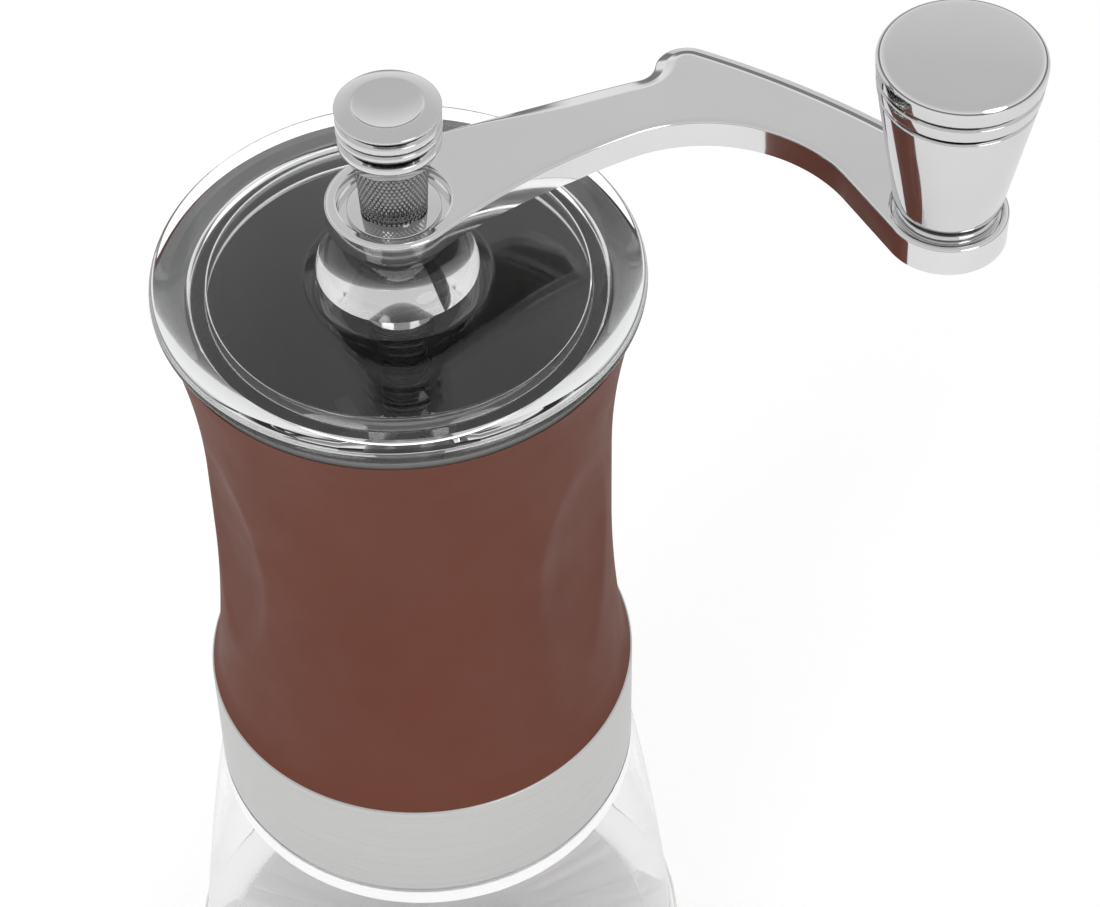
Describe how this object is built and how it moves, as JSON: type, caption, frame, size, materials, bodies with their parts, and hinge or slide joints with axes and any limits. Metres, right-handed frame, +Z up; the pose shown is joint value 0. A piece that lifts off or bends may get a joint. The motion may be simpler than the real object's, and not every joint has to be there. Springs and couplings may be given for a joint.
{
  "type": "manual coffee grinder",
  "caption": "Hand coffee grinder: glass jar under a waisted grip with a bean hopper, conical burrs on a centre shaft, clear lid and a bowed crank with a tapered knob.",
  "frame": {"origin": "centre of the jar foot's underside, on the drive shaft's axis", "axes": "+Z up along the drive shaft, +X from the shaft towards the crank's knob at rest"},
  "size_m": [0.1484, 0.0966, 0.2399],
  "materials": {
    "foot_rubber": "translucent silicone",
    "jar_glass": "clear polished",
    "gasket_rubber": "translucent silicone",
    "band_steel": "fine brushed",
    "liner_plastic": "dark satin moulding",
    "grip_soft": "soft-touch brown",
    "burr_ceramic": "sintered matte",
    "shaft_steel": "turned",
    "spring_steel": "drawn wire",
    "bush_plastic": "acetal",
    "dial_steel": "turned",
    "plate_plastic": "moulded nylon",
    "lid_clear": "clear polished",
    "arm_metal": "satin chromed casting",
    "nut_metal": "turned and chromed",
    "knob_metal": "polished",
    "knob_washer_metal": "polished"
  },
  "bodies": {
    "housing": {"trim_band": "band_steel", "hopper_liner": "liner_plastic", "grip_sleeve": "grip_soft", "upper_bush": "bush_plastic", "lower_bush": "bush_plastic", "outer_burr": "burr_ceramic", "burr_retainer": "plate_plastic", "retainer_screws": "shaft_steel"},
    "drive": {"drive_shaft": "shaft_steel", "shaft_clip": "spring_steel", "thrust_washer": "shaft_steel", "burr_spring": "spring_steel", "dial_clip": "spring_steel"},
    "burr_carrier": {"inner_burr": "burr_ceramic", "burr_drive_plate": "plate_plastic"},
    "dial": {"adjuster_dial": "dial_steel"},
    "lid": {"hopper_lid": "lid_clear", "lid_bush": "bush_plastic"},
    "arm": {"crank_arm": "arm_metal", "knob_pin": "shaft_steel", "knob_washer": "knob_washer_metal", "knob_spacer": "bush_plastic"},
    "knob": {"knob_grip": "knob_metal", "knob_cap": "knob_metal"},
    "nut_rest": {"nut_washer": "shaft_steel"},
    "nut": {"arm_nut": "nut_metal"},
    "jar_seal": {"jar_gasket": "gasket_rubber"},
    "jar": {"jar": "jar_glass", "jar_foot": "foot_rubber"}
  },
  "joints": [
    {"name": "crank_turn", "type": "hinge", "parent": "housing", "child": "drive", "pos_m": [0, 0, 0.13], "axis": [0, 0, 1], "continuous": true},
    {"name": "burr_shift", "type": "slide", "parent": "drive", "child": "burr_carrier", "axis": [0, 0, 1], "range_m": [-0.0015, 0.0005], "deforming": ["burr_spring"]},
    {"name": "dial_turn", "type": "hinge", "parent": "burr_carrier", "child": "dial", "pos_m": [0, 0, 0.08], "axis": [0, 0, 1], "range_deg": [-540, 180]},
    {"name": "lid_lift", "type": "slide", "parent": "housing", "child": "lid", "axis": [0, 0, 1], "range_m": [0, 0.045]},
    {"name": "arm_lift", "type": "slide", "parent": "drive", "child": "arm", "axis": [0, 0, 1], "range_m": [0, 0.045]},
    {"name": "knob_spin", "type": "hinge", "parent": "arm", "child": "knob", "pos_m": [0.0869, 0, 0.22], "axis": [0, 0, 1], "continuous": true},
    {"name": "nut_lift", "type": "slide", "parent": "arm", "child": "nut_rest", "axis": [0, 0, 1], "range_m": [0, 0.018]},
    {"name": "nut_unscrew", "type": "hinge", "parent": "nut_rest", "child": "nut", "pos_m": [0, 0, 0.21], "axis": [0, 0, 1], "range_deg": [0, 6480]},
    {"name": "jar_lower", "type": "slide", "parent": "housing", "child": "jar_seal", "axis": [0, 0, -1], "range_m": [0, 0.008]},
    {"name": "jar_unscrew", "type": "hinge", "parent": "jar_seal", "child": "jar", "pos_m": [0, 0, 0.04], "axis": [0, 0, -1], "range_deg": [0, 720]}
  ],
  "couplings": [
    {"joint": "burr_shift", "follows": "dial_turn", "m_per_rad": 0.00015915},
    {"joint": "arm_lift", "follows": "lid_lift", "ratio": 1},
    {"joint": "nut_lift", "follows": "nut_unscrew", "m_per_rad": 0.00015915},
    {"joint": "jar_lower", "follows": "jar_unscrew", "m_per_rad": 0.00063662}
  ]
}
